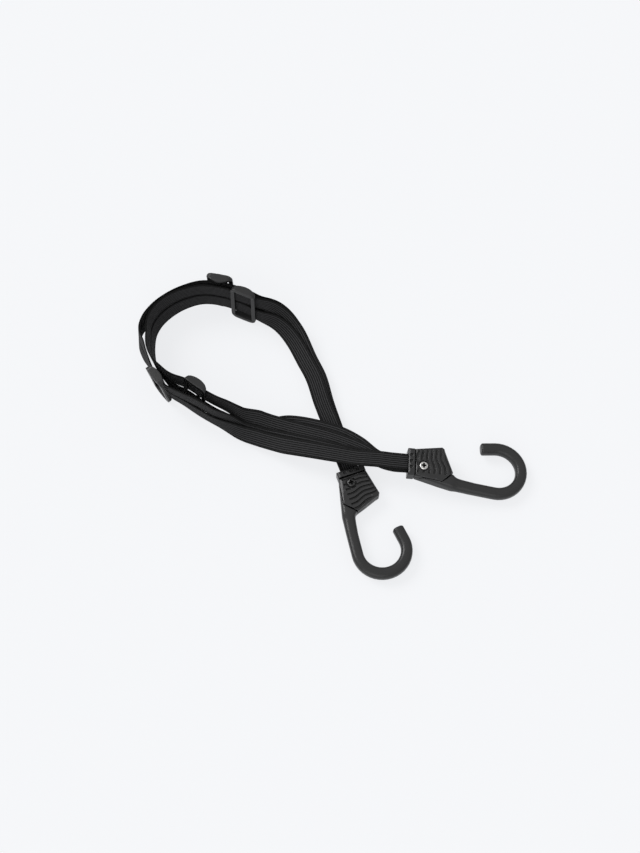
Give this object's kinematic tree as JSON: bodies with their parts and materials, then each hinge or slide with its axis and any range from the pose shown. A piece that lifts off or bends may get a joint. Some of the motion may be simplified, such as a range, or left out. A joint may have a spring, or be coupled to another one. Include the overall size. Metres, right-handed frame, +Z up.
{
  "type": "bungee_cord",
  "caption": "Flat elastic bungee cord laid in a crossed loop: paired ribbed straps held by slide buckles, with a moulded plastic hook clamped to each end.",
  "frame": {"origin": "Middle of the laid-out cord's plan box, at the height of the surface it lies on.", "axes": "+X runs along the longest side of the plan and towards hook A. +Y points to the far side of the loop. +Z is up."},
  "size_m": [0.369, 0.3002, 0.0484],
  "materials": {
    "strap_elastic": "matte ribbed elastic webbing",
    "hook_plastic": "satin moulded plastic",
    "clamp_plastic": "satin moulded plastic with wavy grip grooves",
    "slider_plastic": "satin moulded plastic",
    "screw_steel": "zinc-plated steel",
    "screw_black": "blackened steel"
  },
  "bodies": {
    "straps": {"inner_strap_lower": "strap_elastic", "inner_strap_upper": "strap_elastic", "outer_strap_lower": "strap_elastic", "outer_strap_upper": "strap_elastic"},
    "slider_far_outer": {"slider_far_outer": "slider_plastic"},
    "slider_far_inner": {"slider_far_inner": "slider_plastic"},
    "slider_near_inner": {"slider_near_inner": "slider_plastic"},
    "slider_left_outer": {"slider_left_outer": "slider_plastic"},
    "hook_a": {"hook_a_body": "hook_plastic", "hook_a_cover": "clamp_plastic", "hook_a_jaw": "clamp_plastic", "hook_a_screw": "screw_steel", "hook_a_nut": "screw_steel"},
    "hook_b": {"hook_b_body": "hook_plastic", "hook_b_cover": "clamp_plastic", "hook_b_jaw": "clamp_plastic", "hook_b_screw": "screw_black", "hook_b_nut": "screw_steel"}
  },
  "joints": [
    {"name": "slide_far_outer", "type": "slide", "parent": "straps", "child": "slider_far_outer", "axis": [-0.9725, 0.2277, -0.0482], "range_m": [0, 0.008]},
    {"name": "slide_far_inner", "type": "slide", "parent": "straps", "child": "slider_far_inner", "axis": [0.9029, -0.4278, -0.0428], "range_m": [0, 0.006]},
    {"name": "slide_near_inner", "type": "slide", "parent": "straps", "child": "slider_near_inner", "axis": [0.7903, -0.6116, 0.0366], "range_m": [-0.002, 0.003]},
    {"name": "slide_left_outer", "type": "slide", "parent": "straps", "child": "slider_left_outer", "axis": [0.6033, -0.7975, -0.0105], "range_m": [-0.003, 0.002]},
    {"name": "stretch_hook_a", "type": "slide", "parent": "straps", "child": "hook_a", "axis": [0.9986, -0.0523, 0], "range_m": [0, 0.12], "stiffness_N_per_m": 500, "deforming": ["inner_strap_lower", "inner_strap_upper", "outer_strap_lower", "outer_strap_upper"]},
    {"name": "stretch_hook_b", "type": "slide", "parent": "straps", "child": "hook_b", "axis": [0.3387, -0.9409, 0], "range_m": [0, 0.12], "stiffness_N_per_m": 500, "deforming": ["inner_strap_lower", "inner_strap_upper", "outer_strap_lower", "outer_strap_upper"]}
  ]
}
